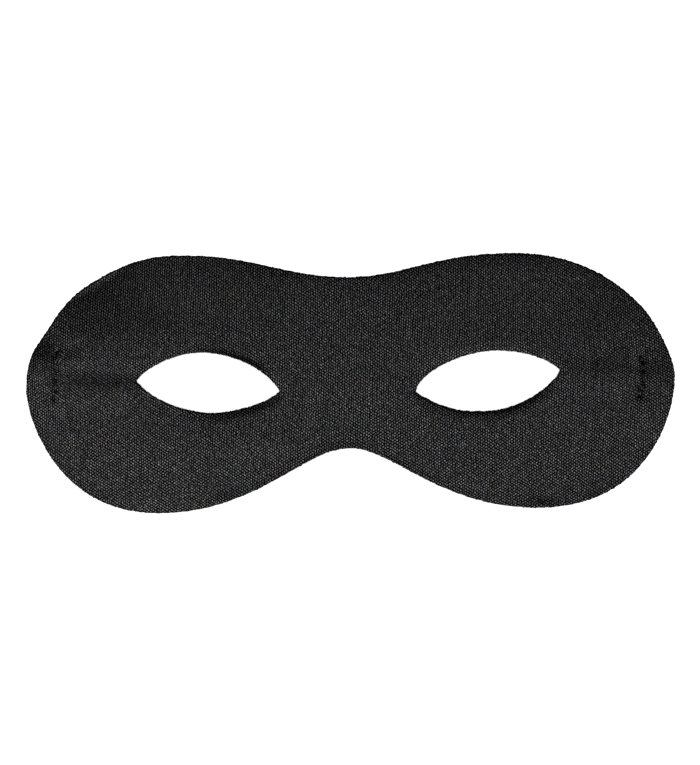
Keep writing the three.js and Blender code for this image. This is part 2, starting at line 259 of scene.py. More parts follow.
# How far handling and sewing have drawn the yarns off their even lattice: place and reach in shares of half
# the width and half the height, and the draw to the right and up in millimetres
YARN_DRAWS = [
    dict(at="left tip", x=-1.04, y=-0.36, along=0.2, across=0.54, right=1.78, up=0.65),
    dict(at="left brow", x=-0.75, y=0.9, along=0.34, across=0.5, right=1.06, up=0.41),
    dict(at="above left eye", x=-0.44, y=0.29, along=0.26, across=0.44, right=0.22, up=-0.86),
    dict(at="left cheek", x=-0.31, y=-0.92, along=0.29, across=0.45, right=-1.24, up=0.4),
    dict(at="left of nose notch", x=-0.08, y=-0.58, along=0.19, across=0.4, right=-0.95, up=0.1),
    dict(at="nose", x=-0.02, y=-0.4, along=0.29, across=0.78, right=0.77, up=-1.64),
    dict(at="nose bridge", x=0.21, y=0.01, along=0.3, across=0.48, right=-0.63, up=-0.04),
    dict(at="above right eye", x=0.57, y=0.43, along=0.43, across=1.01, right=0.97, up=-1.86),
    dict(at="right brow", x=0.88, y=0.78, along=0.42, across=0.82, right=-1.59, up=1.82),
    dict(at="right stitches", x=0.85, y=-0.06, along=0.4, across=0.46, right=1.17, up=-0.01),
    dict(at="foot of right stitches", x=0.89, y=-0.3, along=0.13, across=0.41, right=-0.54, up=0.57),
    dict(at="bottom edge", x=0.14, y=-0.95, along=1.52, across=0.53, right=0.96, up=-1.81),
]

# Where the floats lean more or less to one side and where the ribs stand out more or less than elsewhere:
# place and reach in shares of half the width and half the height. The rib column is partly painted shade:
# the dark lines between the warp yarns are made stronger where the cloth slopes away from the key light, as
# on the brows, and weaker where it faces it, as on the cheeks
WEAVE_PLACES = [
    dict(at="left tip and cheek", x=-0.78, y=-0.05, along=0.18, across=0.35, lean=-0.2, rib=-0.45),
    dict(at="left brow", x=-0.65, y=0.7, along=0.3, across=0.35, lean=0.03, rib=1.1),
    dict(at="inner side of the left eye", x=-0.22, y=-0.1, along=0.1, across=0.3, lean=-0.18, rib=0.2),
    dict(at="inner side of the right eye", x=0.25, y=-0.2, along=0.1, across=0.3, lean=0.14, rib=0),
    dict(at="right brow", x=0.45, y=0.55, along=0.45, across=0.4, lean=0, rib=0.35),
    dict(at="right tip", x=0.85, y=0, along=0.2, across=0.3, lean=0.07, rib=-0.35),
    dict(at="right cheek", x=0.5, y=-0.8, along=0.5, across=0.4, lean=0.1, rib=-0.55),
    dict(at="left cheek", x=-0.6, y=-0.85, along=0.4, across=0.3, lean=0, rib=-0.6),
]

# The stitches that show, each from its upper to its lower needle hole, in millimetres
STITCHES = [
    dict(row="left", at="knot", upper=(-85.7, 9.2), lower=(-85.6, 6.2)),
    dict(row="left", at="middle", upper=(-86.3, 1.3), lower=(-86.2, -2.2)),
    dict(row="left", at="foot", upper=(-86.9, -3.8), lower=(-86.8, -4.9)),
    dict(row="right", at="top", upper=(85.0, 7.9), lower=(85.5, 6.3)),
    dict(row="right", at="middle", upper=(85.6, 3.9), lower=(85.9, -0.4)),
    dict(row="right", at="foot", upper=(84.8, -1.6), lower=(84.8, -3.6)),
]

# Where each row of stitches draws the cloth tight, from the upper to the lower end in millimetres, how much
# shade is painted along it there, and how much more the floats beside it lean up towards it
SEAMS = [
    dict(row="left", upper=(-86.2, 8.5), lower=(-86.9, -5.5), shade=0.4, chevron=0.35),
    dict(row="right", upper=(85.6, 7.5), lower=(84.9, -5.5), shade=0.5, chevron=0.2),
    dict(row="foot of the right", upper=(84.7, -1.2), lower=(84.7, -4.6), shade=0.65, chevron=0),
]

# The point to which each row of stitches gathers the cloth
GATHER_POINTS = [(-85.6 * MM, 6.2 * MM), (85.5 * MM, 6.2 * MM)]

# The puckers: a dimple at each needle hole, a furrow under each stitch, short gathers beside each row, and
# the weft's pull to the gather point. A reach is given across and up
HOLE_DEPTH = 0.3 * MM
HOLE_RADIUS = 0.55 * MM
FURROW_DEPTH = 0.25 * MM
FURROW_WIDTH = 0.5 * MM
GATHER_DEPTH = 0.06 * MM
GATHER_WAVELENGTH = 3.9 * MM
GATHER_REACH = (2.5 * MM, 7 * MM)
GATHER_LEVEL = 2 * MM
PULL = 0.8 * MM
PULL_REACH = (3.5 * MM, 6 * MM)

# How dark the shade painted into the needle holes and the furrows is, and how far the painted shade of them
# and of the seams reaches
HOLE_SHADE = 0.95
FURROW_SHADE = 0.7
SHADE_REACH = 0.4 * MM
SEAM_REACH = 1.1 * MM

# The chevron beside each seam: its half width, its half height and its middle level
CHEVRON_WIDTH = 8 * MM
CHEVRON_HEIGHT = 12 * MM
CHEVRON_LEVEL = 1.5 * MM

# The threads, in millimetres: how far their middle lies over the cloth, their radius, and how far their ends
# dive into it
THREADS = {
    "stitch": dict(lift=0.03, radius=0.15, dive=0.6),
    "knot": dict(lift=0.2, radius=0.14, dive=0.4),
    "frayed": dict(lift=0.28, radius=0.05, dive=0.2),
}

# The turns of thread about the knot of the left row and the pale frayed ends there, in millimetres
KNOT_TURNS = [
    [(-85.9, 9.1), (-85.5, 8.3), (-85.5, 7.2), (-86.2, 6.0)],
    [(-85.8, 9.0), (-85.2, 9.1), (-84.6, 8.7), (-84.0, 8.2)],
]
PALE_ENDS = [
    [(-84.6, 7.3), (-84.9, 6.7), (-85.3, 6.3), (-85.5, 5.6)],
    [(-85.7, 7.0), (-86.1, 6.4), (-86.3, 5.9)],
]


# Shapes in the plane

def fade(share):
    """1 at or before the start, 0 at or past the end, with a smooth way down between them."""
    s = np.clip(share, 0, 1)
    return 1 - s * s * (3 - 2 * s)


def bezier(start, handle_a, handle_b, end, steps):
    t = np.arange(steps)[:, None] / steps
    parts = ((1 - t) ** 3, 3 * (1 - t) ** 2 * t, 3 * (1 - t) * t * t, t**3)
    return sum(part * np.array(point) for part, point in zip(parts, (start, handle_a, handle_b, end)))


def lengths_along(line):
    """How far along an open line each of its points is."""
    return np.concatenate([[0], np.cumsum(np.linalg.norm(np.diff(line, axis=0), axis=1))])


def unit(vectors):
    return vectors / np.linalg.norm(vectors, axis=1)[:, None]


def left_normals(line):
    """Unit normals to the left of an open line's run."""
    run = unit(np.gradient(line, axis=0))
    return np.column_stack([-run[:, 1], run[:, 0]])


def even_steps(points, step, closed):
    """The line again, with points an even step apart."""
    line = np.vstack([points, points[:1]]) if closed else points
    along = lengths_along(line)
    count = max(3, round(along[-1] / step))
    at = np.linspace(0, along[-1], count + 1)
    even = np.stack([np.interp(at, along, line[:, k]) for k in range(2)], axis=1)
    return even[:-1] if closed else even


def trace(edge, half_size, middle):
    """The closed curve through an edge table, a list of stretches between the table's points."""
    size, middle = np.array(half_size), np.array(middle)
    stretches = []
    for row, following in zip(edge, edge[1:] + edge[:1]):
        start = np.array([row["x"], row["y"]])
        end = np.array([following["x"], following["y"]])
        curve = bezier(start, start + row["after"], end + following["before"], end, 60)
        stretches.append(curve * size + middle)
    return stretches


def eye_middle(eye):
    return eye["x"] * EYE_SPACING / 2, eye["y"] * EYE_HEIGHT / 2


def mask_outline():
    stretches = trace(MASK_EDGE, (HALF_WIDTH, HALF_HEIGHT), (0, 0))
    return even_steps(np.vstack(stretches), EDGE_STEP, closed=True)


def eye_outline(eye):
    """The hole's edge, with a point on each of its two corners."""
    half_size = (EYE_WIDTH / 2, EYE_HEIGHT / 2)
    upper_a, upper_b, lower_a, lower_b = trace(eye["edge"], half_size, eye_middle(eye))
    left, right = upper_a[:1], lower_a[:1]
    upper = even_steps(np.vstack([upper_a, upper_b, right]), EDGE_STEP, closed=False)
    lower = even_steps(np.vstack([lower_a, lower_b, left]), EDGE_STEP, closed=False)
    return np.vstack([upper[:-1], lower[:-1]])


def strap_line():
    """Points down the middle of the strap, from its left end to its right end."""
    to_stitches = HALF_WIDTH - STITCH_INSET
    size = np.array([to_stitches, HALF_HEIGHT, to_stitches])
    stops = [tuple(size * (row["x"], row["y"], row["reach"])) for row in STRAP_ROUTE]
    stops += [(-x, y, reach) for x, y, reach in reversed(stops[:-1])]
    first, last = stops[0], stops[-1]
    parts = [np.array([[first[0] - STRAP_TAIL, first[1]]])]
    for (ax, ay, a_reach), (bx, by, b_reach) in zip(stops, stops[1:]):
        parts.append(bezier((ax, ay), (ax + a_reach, ay), (bx - b_reach, by), (bx, by), 40))
    parts.append(np.array([[last[0], last[1]], [last[0] + STRAP_TAIL, last[1]]]))
    return np.vstack(parts)


def strap_area():
    """Points all over the strap, from edge to edge."""
    line = even_steps(strap_line(), 0.5 * MM, closed=False)
    side = left_normals(line)
    return np.vstack([line + side * offset for offset in np.linspace(-0.5, 0.5, 17) * STRAP_WIDTH])


def tree_of(points):
    tree = KDTree(len(points))
    for i, point in enumerate(points):
        tree.insert((point[0], point[1], 0), i)
    tree.balance()
    return tree


def distances(tree, points):
    return np.array([tree.find((x, y, 0))[2] for x, y in points])


MASK_LINE = mask_outline()
EYE_LINES = [eye_outline(eye) for eye in EYE_HOLES]
MASK_TREE = tree_of(MASK_LINE)
EYE_TREES = [tree_of(line) for line in EYE_LINES]
STRAP_TREE = tree_of(strap_area())


# Heights of the cloth

def soft_max(a, b, blend):
    """The larger of two heights, rounded where they meet."""
    return (a + b + np.sqrt((a - b) ** 2 + blend**2)) / 2


def rim_fall(share):
    """1 at the rim, 0 at or past the reach, steepest at the rim."""
    return np.clip(1 - share, 0, 1) ** 2


def round_eye(eye, shares, x, y):
    """A share for the direction of each point from the eye's middle, blended between its four quarters."""
    cx, cy = eye_middle(eye)
    angle = np.degrees(np.arctan2((y - cy) / EYE_HEIGHT, (x - cx) / EYE_WIDTH))
    blended = np.zeros_like(x)
    for quarter, share in enumerate(shares):
        off = np.abs((angle - 45 - 90 * quarter + 180) % 360 - 180) / 90
        blended = blended + share * fade(off)
    return blended


def free_height(x, y):
    """The back of the cloth where only its own stiffness holds it."""
    u, v = x / HALF_WIDTH, y / HALF_HEIGHT
    height = BOW_RISE * (1 - u * u) + CROWN_RISE * (1 - v * v) - CROWN_RISE - TIP_SETTLE
    for fold in FOLDS:
        turn = math.radians(fold.get("turn", 0))
        dx, dy = x - fold["x"] * HALF_WIDTH, y - fold["y"] * HALF_HEIGHT
        along = (dx * math.cos(turn) + dy * math.sin(turn)) / (fold["along"] * HALF_WIDTH)
        across = (dy * math.cos(turn) - dx * math.sin(turn)) / (fold["across"] * HALF_HEIGHT)
        height = height + fold["rise"] * FOLD_DEPTH * np.exp(-along**2 - across**2)
    points = np.column_stack([x, y])
    for eye, tree in zip(EYE_HOLES, EYE_TREES):
        away = distances(tree, points)
        height = height - EYE_RIM_DROP * round_eye(eye, eye["rim"], x, y) * rim_fall(away / EYE_RIM_REACH)
        height = height + EYE_RIM_DROP * round_eye(eye, eye["lip"], x, y) * rim_fall(away / EYE_LIP_REACH)
    away = distances(MASK_TREE, points)
    height = height - TOP_EDGE_DROP * rim_fall(away / TOP_EDGE_REACH) * fade(0.5 - v * 2)
    height = height + BOTTOM_EDGE_LIFT * rim_fall(away / BOTTOM_EDGE_REACH) * fade(0.5 + v * 2)
    return height


def stitch_ends():
    """The needle holes of all the stitches."""
    return [np.array(stitch[end]) * MM for stitch in STITCHES for end in ("upper", "lower")]


def off_stitch(stitch, x, y):
    """The distance of each point from the thread of a stitch."""
    a, b = np.array(stitch["upper"]) * MM, np.array(stitch["lower"]) * MM
    run = b - a
    share = np.clip(((x - a[0]) * run[0] + (y - a[1]) * run[1]) / (run @ run), 0, 1)
    return np.hypot(x - a[0] - share * run[0], y - a[1] - share * run[1])


def pucker_height(x, y):
    """The dimples and short gathers that the stitches pull into the cloth."""
    height = np.zeros_like(x)
    for hole in stitch_ends():
        away = np.hypot(x - hole[0], y - hole[1])
        height = height - HOLE_DEPTH * np.exp(-((away / HOLE_RADIUS) ** 2))
    for stitch in STITCHES:
        height = height - FURROW_DEPTH * np.exp(-((off_stitch(stitch, x, y) / FURROW_WIDTH) ** 2))
    for middle in GATHER_POINTS:
        off = np.abs(x - middle[0])
        reach = np.exp(-off / GATHER_REACH[0] - ((y - GATHER_LEVEL) / GATHER_REACH[1]) ** 2)
        gather = np.cos(2 * math.pi * (middle[1] - y) / GATHER_WAVELENGTH)
        height = height + GATHER_DEPTH * gather * reach * (1 - np.exp(-off / FURROW_WIDTH))
    return height


def painted_hole_shade(x, y):
    """Painted shade: how much the cloth's colour is darkened down in the needle's holes, under the stitches
    and along the seams, where shade falls.
    """
    shade = np.zeros_like(x)
    for hole in stitch_ends():
        away = np.hypot(x - hole[0], y - hole[1])
        shade = np.maximum(shade, HOLE_SHADE * np.exp(-((away / SHADE_REACH) ** 2)))
    for stitch in STITCHES:
        shade = np.maximum(shade, FURROW_SHADE * np.exp(-((off_stitch(stitch, x, y) / SHADE_REACH) ** 2)))
    for seam in SEAMS:
        shade = np.maximum(shade, seam["shade"] * np.exp(-((off_stitch(seam, x, y) / SEAM_REACH) ** 2)))
    return shade


def slow_relief(x, y, wavelength, depth, seed):
    """Soft unevenness that a cloth laid by hand has."""
    offset = Vector((7.3 * seed, 3.1 * seed, 1.7 * seed))
    values = [noise.noise(Vector((a / wavelength, b / wavelength, 0)) + offset) for a, b in zip(x, y)]
    return depth * np.array(values)


def cloth_heights(x, y, away):
    """(front, back) of the cloth, before the weave. The floor and the strap hold up the back, and the front
    keeps its own relief over it."""
    free = free_height(x, y)
    for row in UNEVENNESS:
        free = free + slow_relief(x, y, row["wavelength"] * MM, row["depth"] * MM, row["seed"])
    past = distances(STRAP_TREE, np.column_stack([x, y])) - COVER_MARGIN
    cover = (STRAP_THICKNESS + STRAP_CLEARANCE) * fade(past / COVER_FALL)
    back = soft_max(soft_max(free, np.zeros_like(x), CONTACT_ROUND), cover, CONTACT_ROUND)
    pressed = EDGE_SHARE + (1 - EDGE_SHARE) * np.sqrt(1 - fade(away / EDGE_ROUND) ** 2)
    pucker = pucker_height(x, y)
    least = LEAST_SHARE - THIN_SHARE * fade(away / THIN_REACH)
    front = soft_max(free + CLOTH_THICKNESS, back + least * CLOTH_THICKNESS, PRESS_ROUND)
    front = front - CLOTH_THICKNESS * (1 - pressed) + pucker
    return front, back + 0.2 * np.minimum(pucker, 0)


# The weave

def tack_pull(x, y):
    """How far the weft is drawn up or down to the level at which the stitches gather the cloth."""
    pull = np.zeros_like(x)
    for middle in GATHER_POINTS:
        level = (middle[1] - y) / PULL_REACH[1]
        reach = np.exp(-np.abs(x - middle[0]) / PULL_REACH[0])
        pull = pull + PULL * reach * level * np.exp(0.5 - 0.5 * level**2)
    return pull


def nearness(row, x, y):
    """1 at the place of a table's row, with a soft fall past its reach along and across."""
    along = (x / HALF_WIDTH - row["x"]) / row["along"]
    across = (y / HALF_HEIGHT - row["y"]) / row["across"]
    return np.exp(-(along**2) - across**2)


def yarn_drift(x, y):
    """How far the yarns lie off their even lattice, across and up."""
    wavelength = YARN_STRAY["wavelength"] * MM
    across = slow_relief(x, y, wavelength, YARN_STRAY["across"] * MM, 4)
    up = slow_relief(x, y, wavelength, YARN_STRAY["up"] * MM, 6) + tack_pull(x, y)
    for draw in YARN_DRAWS:
        share = nearness(draw, x, y)
        across = across + draw["right"] * MM * share
        up = up + draw["up"] * MM * share
    return across, up


def yarn_counts(x, y):
    """The number of the warp and of the weft yarn at each point."""
    across, up = yarn_drift(x, y)
    x, y = x - across, y - up
    return (x + WARP_SLANT * y) / WARP_PITCH, (y + WEFT_SLANT * x) / WEFT_PITCH


def weave_places(x, y):
    """The lean of the floats and the strength of the ribs at each point; the ribs' strength is partly
    painted shade.
    """
    lean = np.full_like(x, FLOAT_LEAN)
    rib = np.ones_like(x)
    for place in WEAVE_PLACES:
        share = nearness(place, x, y)
        lean = lean + place["lean"] * share
        rib = rib + place["rib"] * share
    for seam in SEAMS:
        off = x - seam["upper"][0] * MM
        up = y - CHEVRON_LEVEL
        share = np.exp(-((off / CHEVRON_WIDTH) ** 2) - (up / CHEVRON_HEIGHT) ** 2)
        lean = lean - seam["chevron"] * np.tanh(off / MM) * share
    return lean, rib


def lattice_points():
    """The pores and the tops of the yarns, all over the mask's box."""
    across = math.ceil(HALF_WIDTH / WARP_PITCH) + 6
    up = math.ceil((HALF_HEIGHT + abs(WEFT_SLANT) * HALF_WIDTH) / WEFT_PITCH) + 8
    u, v = np.meshgrid(np.arange(-across, across + 1.0), np.arange(-up, up + 1.0))
    u = np.concatenate([u.ravel(), u.ravel() + 0.5]) * WARP_PITCH
    v = np.concatenate([v.ravel(), v.ravel() + 0.5]) * WEFT_PITCH
    x = (u - WARP_SLANT * v) / (1 - WARP_SLANT * WEFT_SLANT)
    y = (v - WEFT_SLANT * u) / (1 - WARP_SLANT * WEFT_SLANT)
    near = (np.abs(x) < HALF_WIDTH + 3 * MM) & (np.abs(y) < HALF_HEIGHT + 3 * MM)
    x, y = x[near], y[near]
    drawn = np.column_stack([x, y])
    for _ in range(4):
        across, up = yarn_drift(*drawn.T)
        drawn = np.column_stack([x + across, y + up])
    return drawn


def weave_height(warp, weft):
    """The relief of the yarns, each float a little higher or lower than the next."""
    rib = np.sin(math.pi * warp) ** 2
    top = np.clip((rib + np.sin(math.pi * warp) * np.sin(math.pi * weft)) / 2, 0, 1)
    chance = np.random.default_rng(11).random((64, 64))
    each = 0.75 + 0.5 * chance[np.floor(warp).astype(int) % 64, np.floor(weft).astype(int) % 64]
    return YARN_TOP * each * top + YARN_DIP * rib * (1 - top) + PORE * (1 - rib)


# Meshes and materials

def new_object(name, vertices, faces, material, smooth=True):
    mesh = bpy.data.meshes.new(name)
    mesh.from_pydata([tuple(v) for v in vertices], [], [tuple(int(i) for i in f) for f in faces])
    mesh.update()
    mesh.polygons.foreach_set("use_smooth", [smooth] * len(mesh.polygons))
    mesh.materials.append(material)
    made = bpy.data.objects.new(name, mesh)
    bpy.context.scene.collection.objects.link(made)
    return made


def add_values(made, name, values):
    attribute = made.data.attributes.new(name, "FLOAT", "POINT")
    attribute.data.foreach_set("value", np.asarray(values, np.float32))


class Nodes:
    """A small writer of node graphs."""

    def __init__(self, name):
        self.material = bpy.data.materials.new(name)
        self.material.use_nodes = True
        self.tree = self.material.node_tree
        self.tree.nodes.clear()
        self.output = self.tree.nodes.new("ShaderNodeOutputMaterial")
        self.shader = self.tree.nodes.new("ShaderNodeBsdfPrincipled")
        self.join(self.shader.outputs[0], self.output.inputs["Surface"])

    def join(self, source, socket):
        if isinstance(source, bpy.types.NodeSocket):
            self.tree.links.new(source, socket)
        else:
            socket.default_value = source

    def math(self, operation, a, b=0.0, clamp=False):
        node = self.tree.nodes.new("ShaderNodeMath")
        node.operation = operation
        node.use_clamp = clamp
        self.join(a, node.inputs[0])
        self.join(b, node.inputs[1])
        return node.outputs[0]

    def times(self, a, b):
        return self.math("MULTIPLY", a, b)

    def plus(self, a, b):
        return self.math("ADD", a, b)

    def range(self, value, low, high, to_low, to_high, smooth=False):
        node = self.tree.nodes.new("ShaderNodeMapRange")
        node.interpolation_type = "SMOOTHSTEP" if smooth else "LINEAR"
        for socket, given in zip(node.inputs, (value, low, high, to_low, to_high)):
            self.join(given, socket)
        return node.outputs[0]

    def place(self):
        """The point in the frame, as x, y and z."""
        node = self.tree.nodes.new("ShaderNodeTexCoord")
        apart = self.tree.nodes.new("ShaderNodeSeparateXYZ")
        self.join(node.outputs["Object"], apart.inputs[0])
        return node.outputs["Object"], apart.outputs

    def vector(self, x, y, z=0.0):
        node = self.tree.nodes.new("ShaderNodeCombineXYZ")
        for socket, given in zip(node.inputs, (x, y, z)):
            self.join(given, socket)
        return node.outputs[0]

    def noise(self, vector, wavelength, detail=1.0):
        node = self.tree.nodes.new("ShaderNodeTexNoise")
        node.inputs["Scale"].default_value = 1 / wavelength
        node.inputs["Detail"].default_value = detail
        self.join(vector, node.inputs["Vector"])
        return node.outputs["Fac"]

    def random(self, vector):
        node = self.tree.nodes.new("ShaderNodeTexWhiteNoise")
        node.noise_dimensions = "2D"
        self.join(vector, node.inputs["Vector"])
        return node.outputs["Value"]

    def attribute(self, name):
        node = self.tree.nodes.new("ShaderNodeAttribute")
        node.attribute_name = name
        return node.outputs["Fac"]

    def grey(self, value, tint=(1.0, 1.0, 1.0)):
        node = self.tree.nodes.new("ShaderNodeCombineColor")
        for socket, share in zip(node.inputs, tint):
            self.join(self.times(value, share), socket)
        return node.outputs[0]

    def surface(self, colour, roughness, specular=0.5):
        self.join(colour, self.shader.inputs["Base Color"])
        self.join(roughness, self.shader.inputs["Roughness"])
        self.join(specular, self.shader.inputs["Specular IOR Level"])

    def bump(self, height, distance, strength=1.0):
        node = self.tree.nodes.new("ShaderNodeBump")
        node.inputs["Strength"].default_value = strength
        node.inputs["Distance"].default_value = distance
        self.join(height, node.inputs["Height"])
        self.join(node.outputs[0], self.shader.inputs["Normal"])


def woven_cloth():
    """Near black pores between floats. Each ply of each float has its own tone and tint, and some plies are
    painted far brighter, as painted glints of their fibres.
    """
    nodes = Nodes("woven_cloth")
    point, _ = nodes.place()
    stray_warp = nodes.range(nodes.noise(point, 1.1 * MM), 0.0, 1.0, -0.35, 0.35)
    stray_weft = nodes.range(nodes.noise(point, 0.9 * MM), 0.0, 1.0, -0.4, 0.4)
    warp = nodes.plus(nodes.attribute("warp"), stray_warp)
    weft = nodes.plus(nodes.attribute("weft"), stray_weft)
    phases = [nodes.times(yarn, math.pi) for yarn in (warp, weft)]
    wave_warp, wave_weft = [nodes.math("SINE", phase) for phase in phases]
    turn_warp, turn_weft = [nodes.math("COSINE", phase) for phase in phases]
    lean = nodes.times(nodes.times(turn_warp, turn_weft), nodes.attribute("lean"))
    over = nodes.plus(nodes.times(wave_warp, wave_weft), lean)
    rib = nodes.times(wave_warp, wave_warp)
    # The rib attribute scales the dark lines between the warps: partly painted shade, stronger where the
    # cloth slopes away from the key light.
    rib = nodes.times(nodes.math("SUBTRACT", rib, 0.5), nodes.attribute("rib"))
    yarn_top = nodes.math("MULTIPLY", nodes.plus(nodes.plus(rib, 0.5), over), 0.5, clamp=True)
    light = nodes.range(yarn_top, 0.15, 0.66, 0.0, 1.0, smooth=True)
    base = nodes.range(light, 0.0, 1.0, 0.0002, 0.095)
    row = nodes.math("FLOOR", warp)
    ply_across = nodes.math("FLOOR", nodes.times(warp, 2.0))
    ply_up = nodes.math("FLOOR", nodes.times(weft, 2.0))
    chance = nodes.random(nodes.vector(ply_across, ply_up))
    # Random tone of each ply, with some plies painted up to twice as bright: partly real tone, partly
    # painted glints.
    tone_and_glint = nodes.range(nodes.math("POWER", chance, 2.0), 0.0, 1.0, 0.5, 2.05)
    side = nodes.range(nodes.math("FLOORED_MODULO", ply_across, 2.0), 0.0, 1.0, 1.0, -1.0)
    pair = nodes.range(nodes.random(nodes.vector(ply_up, row)), 0.0, 1.0, -0.95, 0.95)
    twist = nodes.plus(1.0, nodes.times(side, pair))
    yarn = nodes.range(nodes.random(nodes.vector(row, 0.5)), 0.0, 1.0, 0.93, 1.07)
    patches = nodes.range(nodes.noise(point, 14 * MM, 3.0), 0.3, 0.7, 0.96, 1.04)
    # Painted shade: the colour darkens over the last 0.6 mm to the cut edge, where the rolled rim falls into
    # shade.
    edge = nodes.range(nodes.attribute("edge_distance"), 0.1 * MM, 0.6 * MM, 0.35, 1.0, smooth=True)
    # Painted shade: the cloth's colour is darkened in the needle holes, under the stitches and along the
    # seams.
    painted_shade = nodes.math("SUBTRACT", 1.0, nodes.attribute("painted_shade"))
    for factor in (tone_and_glint, twist, yarn, patches, edge, painted_shade):
        base = nodes.times(base, factor)
    reds = nodes.random(nodes.vector(ply_up, ply_across))
    blues = nodes.random(nodes.vector(nodes.plus(ply_across, 0.5), ply_up))
    tint = (nodes.range(reds, 0.0, 1.0, 0.84, 1.18), 1.0, nodes.range(blues, 0.0, 1.0, 0.78, 1.26))
    nodes.surface(nodes.grey(base, tint), 0.85, 0.02)
    nodes.bump(nodes.noise(point, 0.12 * MM), 0.02 * MM, 0.5)
    return nodes.material


def strap_elastic():
    """Braid: slanting ribs that meet in the strap's middle."""
    nodes = Nodes("strap_elastic")
    point, _ = nodes.place()
    across = nodes.math("ABSOLUTE", nodes.attribute("across"))
    chevron = nodes.plus(nodes.attribute("along"), nodes.times(across, 0.6))
    rib = nodes.math("SINE", nodes.times(chevron, 2 * math.pi / (0.9 * MM)))
    tone = nodes.range(rib, -1.0, 1.0, 0.008, 0.022)
    fuzz = nodes.range(nodes.noise(point, 0.5 * MM, 2.0), 0.3, 0.7, 0.7, 1.35)
    nodes.surface(nodes.grey(nodes.times(tone, fuzz)), 0.75, 0.3)
    nodes.bump(rib, 0.08 * MM, 0.8)
    return nodes.material


def thread(name, tone, twist):
    """Twisted thread: fine slanting turns of its fibres."""
    nodes = Nodes(name)
    _, xyz = nodes.place()
    slant = nodes.plus(xyz[1], nodes.times(xyz[0], 0.7))
    turns = nodes.math("SINE", nodes.times(slant, 2 * math.pi / twist))
    value = nodes.range(turns, -1.0, 1.0, 0.6 * tone, 1.4 * tone)
    nodes.surface(nodes.grey(value), 0.6)
    nodes.bump(turns, 0.03 * MM, 0.6)
    return nodes.material


# The stage

def make_camera():
    data = bpy.data.cameras.new("camera")
    data.lens = CAMERA_LENS
    data.sensor_width = CAMERA_SENSOR
    camera = bpy.data.objects.new("camera", data)
    tall = max(FRAME_PIXELS) * PIXEL
    across = (FRAME_PIXELS[0] / 2 - MASK_PIXEL[0]) * PIXEL
    up = (MASK_PIXEL[1] - FRAME_PIXELS[1] / 2) * PIXEL
    camera.location = (across, up, FOCUS_HEIGHT + tall * CAMERA_LENS / CAMERA_SENSOR)
    bpy.context.scene.collection.objects.link(camera)
    bpy.context.scene.camera = camera


def make_floor():
    nodes = Nodes("floor_paper")
    nodes.surface((0.9, 0.9, 0.9, 1), 0.9, 0.1)
    side = FLOOR_HALF_SIDE
    corners = [(x, y, -FLOOR_DROP) for x, y in ((-side, -side), (side, -side), (side, side), (-side, side))]
    floor = new_object("floor", corners, [(0, 1, 2, 3)], nodes.material, smooth=False)
    return floor


def make_light(name, row, place, pieces):
    """A round light that looks at the mask's middle and falls on these pieces alone."""
    data = bpy.data.lights.new(name, "AREA")
    data.shape = "DISK"
    data.size = row["size"]
    data.energy = row["power"]
    light = bpy.data.objects.new(name, data)
    light.location = place
    light.rotation_mode = "QUATERNION"
    light.rotation_quaternion = (Vector((0, 0, 0)) - Vector(place)).to_track_quat("-Z", "Y")
    bpy.context.scene.collection.objects.link(light)
    receivers = bpy.data.collections.new("lit_by_" + name)
    for piece in pieces:
        receivers.objects.link(piece)
    light.light_linking.receiver_collection = receivers


def make_lights(floor, pieces):
    elevation, turn = math.radians(KEY_LIGHT["elevation"]), math.radians(KEY_LIGHT["turn"])
    level = KEY_LIGHT["distance"] * math.cos(elevation)
    height = KEY_LIGHT["distance"] * math.sin(elevation)
    place = (level * math.sin(turn), -level * math.cos(turn), height)
    make_light("key", KEY_LIGHT, place, pieces)
    make_light("overhead", OVERHEAD_LIGHT, (0, 0, OVERHEAD_LIGHT["height"]), [floor])
    world = bpy.data.worlds.new("studio")
    bpy.context.scene.world = world
    world.use_nodes = True
    world.node_tree.nodes["Background"].inputs["Color"].default_value = (1, 1, 1, 1)
    world.node_tree.nodes["Background"].inputs["Strength"].default_value = SKY_STRENGTH
    bpy.context.scene.view_settings.view_transform = "Standard"


# The cloth

def inward_normals(line, sign):
    """Unit normals of a closed line. sign is 1 where the cloth lies to the right of its run."""
    run = unit(np.roll(line, -1, axis=0) - np.roll(line, 1, axis=0))
    return sign * np.column_stack([run[:, 1], -run[:, 0]])


def wandering(line, normals, seed):
    """The cut line with its small unevenness and a nub where a yarn's end stands out."""
    rng = np.random.default_rng(seed)
    rough = rng.normal(size=len(line))
    offset = EDGE_WANDER * (rough + 0.5 * np.roll(rough, 1))
    nubs = np.flatnonzero(rng.random(len(line)) < 0.05)
    offset[nubs] -= EDGE_NUB * rng.random(len(nubs))
    return line + normals * np.clip(offset, -EDGE_NUB, 0.1 * MM)[:, None]


def inside(points, polygon):
    """Whether each point lies inside the polygon, by counting the edges to its right."""
    result = np.zeros(len(points), bool)
    x, y = points[:, 0], points[:, 1]
    for (ax, ay), (bx, by) in zip(polygon, np.roll(polygon, -1, axis=0)):
        if ay != by:
            crosses = (ay > y) != (by > y)
            result ^= crosses & (x < (bx - ax) * (y - ay) / (by - ay) + ax)
    return result


def on_cloth(points, outline, holes):
    """Whether each point lies inside the outline and in none of the holes."""
    kept = inside(points, outline)
    for hole in holes:
        kept &= ~inside(points, hole)
    return kept


def edge_distances(points):
    return np.minimum.reduce([distances(tree, points) for tree in [MASK_TREE] + EYE_TREES])


def cut_edges():
    """For the outline and each eye hole: (even line, inward normals, wandering cut line)."""
    edges = []
    for seed, (line, sign) in enumerate([(MASK_LINE, 1)] + [(line, -1) for line in EYE_LINES]):
        normals = inward_normals(line, sign)
        edges.append((line, normals, wandering(line, normals, seed)))
    return edges


def edge_rings(edges):
    """The numbers of each cut line's points, which come first among the points of either face."""
    starts = np.cumsum([0] + [len(cut) for _, _, cut in edges])
    return [np.arange(start, stop) for start, stop in zip(starts, starts[1:])]


